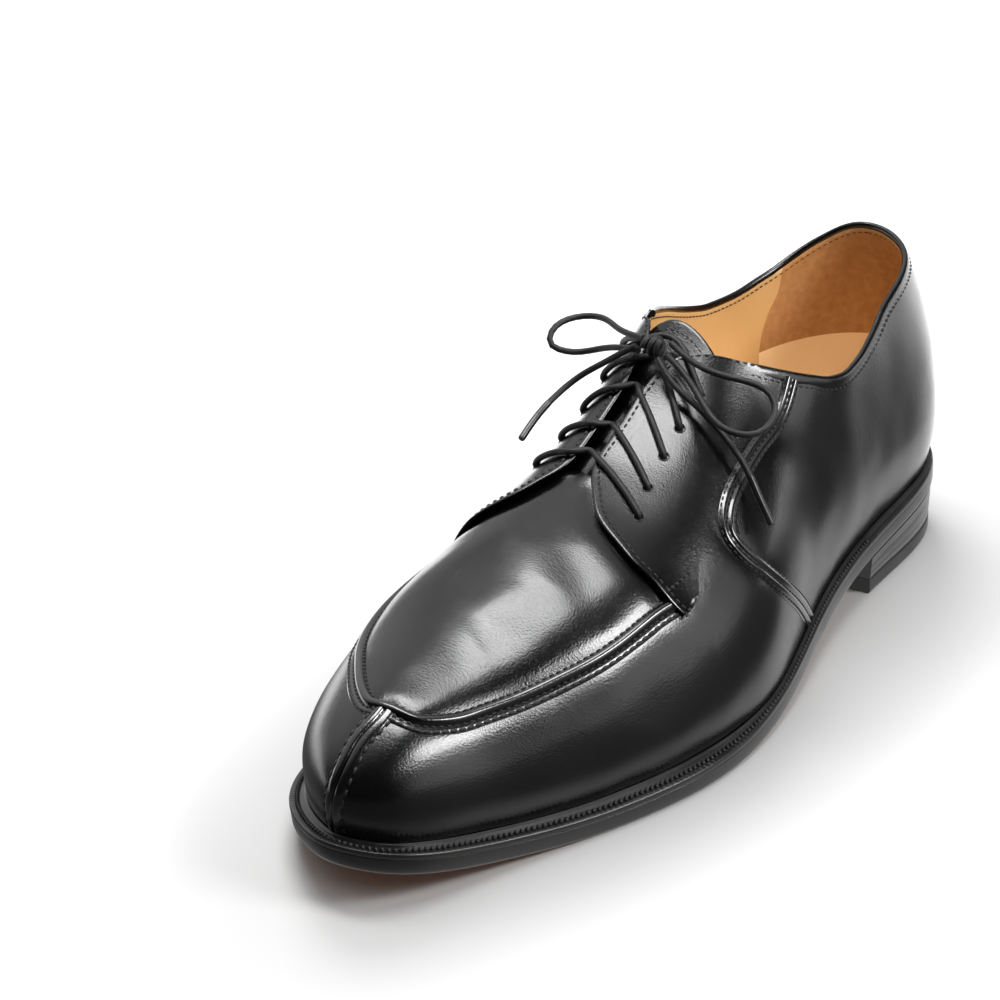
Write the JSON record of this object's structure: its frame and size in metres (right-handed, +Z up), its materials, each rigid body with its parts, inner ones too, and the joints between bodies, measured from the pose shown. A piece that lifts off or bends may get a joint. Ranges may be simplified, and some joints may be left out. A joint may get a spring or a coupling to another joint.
{
  "type": "split toe derby shoe, left",
  "caption": "Left shoe of black polished calf: derby lacing, raised apron and split toe seams, welted leather sole, stacked heel, open tan-lined upper, laces tied in a bow.",
  "frame": {"origin": "middle of the shoe's length and width, on the surface that it stands on", "axes": "+Z up, +Y from the toe to the heel, +X to the outer (lateral) side of the left foot"},
  "size_m": [0.1084, 0.3022, 0.1076],
  "materials": {
    "black_calf": "polished",
    "tan_lining": "satin",
    "black_edge": "waxed satin",
    "black_rubber": "matte",
    "black_lace": "waxed"
  },
  "bodies": {
    "root": {"upper": "black_calf", "tongue": "black_calf", "apron_seam": "black_calf", "toe_seam": "black_calf", "quarter_seam_lateral": "black_calf", "quarter_seam_medial": "black_calf", "insole": "tan_lining", "welt": "black_edge", "outsole": "black_edge", "heel_stack": "black_edge", "heel_top_lift": "black_rubber", "lace_bar_1": "black_lace", "lace_bar_2": "black_lace", "lace_bar_3": "black_lace", "lace_bar_4": "black_lace", "lace_bar_5": "black_lace", "lace_knot": "black_lace", "lace_loop_medial": "black_lace", "lace_loop_lateral": "black_lace", "lace_end_medial": "black_lace", "lace_end_lateral": "black_lace"}
  },
  "joints": []
}
